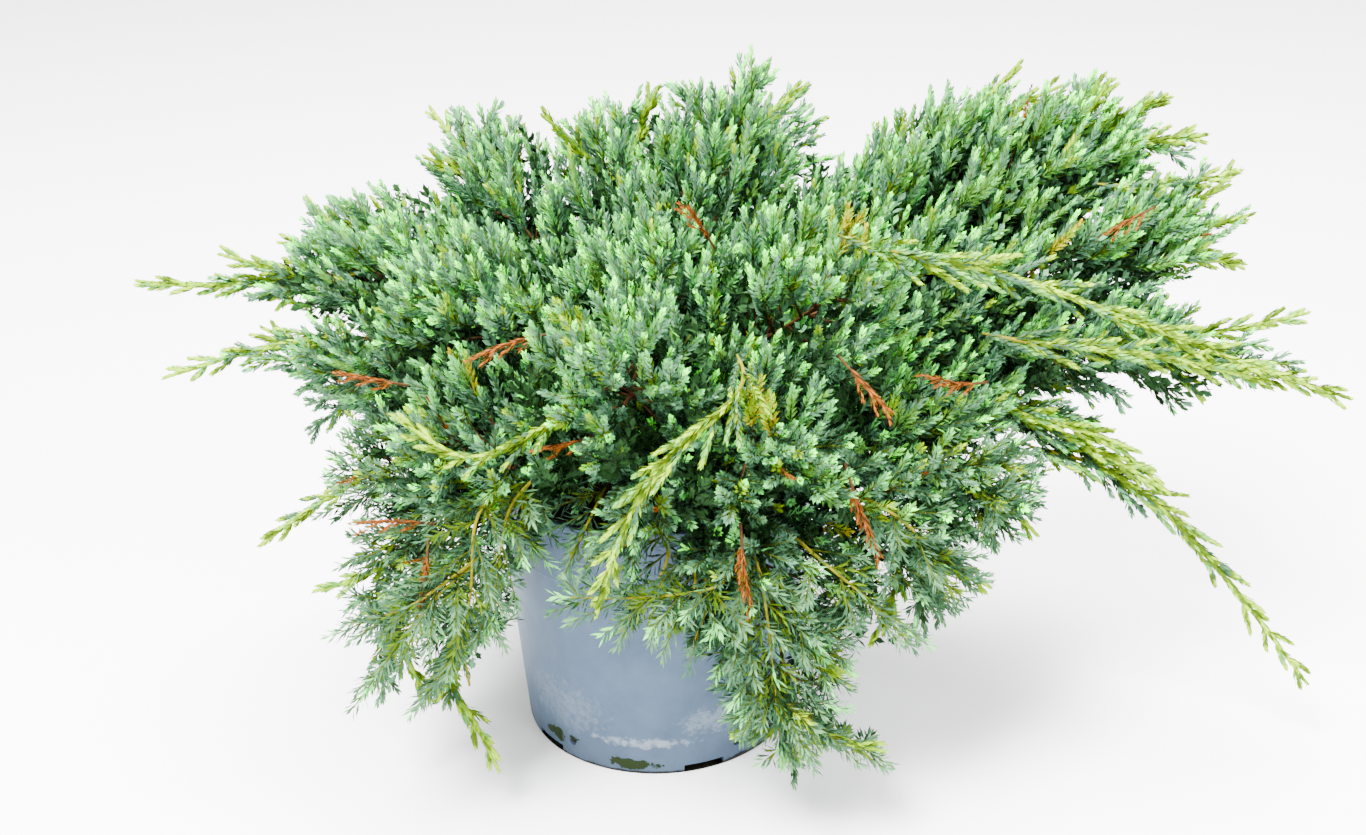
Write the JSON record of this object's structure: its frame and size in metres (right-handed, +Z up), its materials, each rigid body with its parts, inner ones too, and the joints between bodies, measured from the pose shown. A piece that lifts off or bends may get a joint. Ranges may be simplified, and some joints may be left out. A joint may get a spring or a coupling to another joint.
{
  "type": "potted juniper",
  "caption": "Low, spreading blue juniper shrub with arching and hanging leaders, growing in its round grey nursery pot.",
  "frame": {"origin": "centre of the pot's flat underside", "axes": "+Z up out of the pot, +X along the crown's long way to the right of the pictured side, -Y towards the pictured side"},
  "size_m": [0.5558, 0.3216, 0.3224],
  "materials": {
    "pot": "satin grey-blue plastic with lime bloom and algae near the foot",
    "soil": "rough dark peat and bark compost",
    "bark": "flaky red-brown bark",
    "needles": "matt silvery blue-green needles"
  },
  "bodies": {
    "root": {"pot": "pot", "soil": "soil", "trunk": "bark", "bough_left_leader": "bark", "foliage_left_leader": "needles", "bough_left_lower": "bark", "foliage_left_lower": "needles", "bough_left_shoulder": "bark", "foliage_left_shoulder": "needles", "bough_upper_left": "bark", "foliage_upper_left": "needles", "foliage_top_left": "needles", "foliage_top_crown": "needles", "foliage_top_back": "needles", "bough_right_top": "bark", "foliage_right_top": "needles", "bough_right_upper": "bark", "foliage_right_upper": "needles", "bough_right_shoulder": "bark", "foliage_right_shoulder": "needles", "bough_right_leader": "bark", "foliage_right_leader": "needles", "bough_right_arch": "bark", "foliage_right_arch": "needles", "bough_right_low": "bark", "foliage_right_low": "needles", "bough_right_hang": "bark", "foliage_right_hang": "needles", "bough_front_hang": "bark", "foliage_front_hang": "needles", "bough_front_leader": "bark", "foliage_front_leader": "needles", "bough_front_centre": "bark", "foliage_front_centre": "needles", "bough_front_left": "bark", "foliage_front_left": "needles", "bough_left_hang": "bark", "foliage_left_hang": "needles", "bough_left_weep": "bark", "foliage_left_weep": "needles", "bough_left_hang_outer": "bark", "foliage_left_hang_outer": "needles", "foliage_mid_left": "needles", "foliage_mid_centre": "needles", "bough_mid_right": "bark", "foliage_mid_right": "needles", "bough_front_right": "bark", "foliage_front_right": "needles", "bough_back_right": "bark", "foliage_back_right": "needles", "bough_back_centre": "bark", "foliage_back_centre": "needles", "bough_back_low": "bark", "foliage_back_low": "needles", "bough_back_left": "bark", "foliage_back_left": "needles", "bough_back_left_low": "bark", "foliage_back_left_low": "needles", "bough_back_right_low": "bark", "foliage_back_right_low": "needles"}
  },
  "joints": []
}
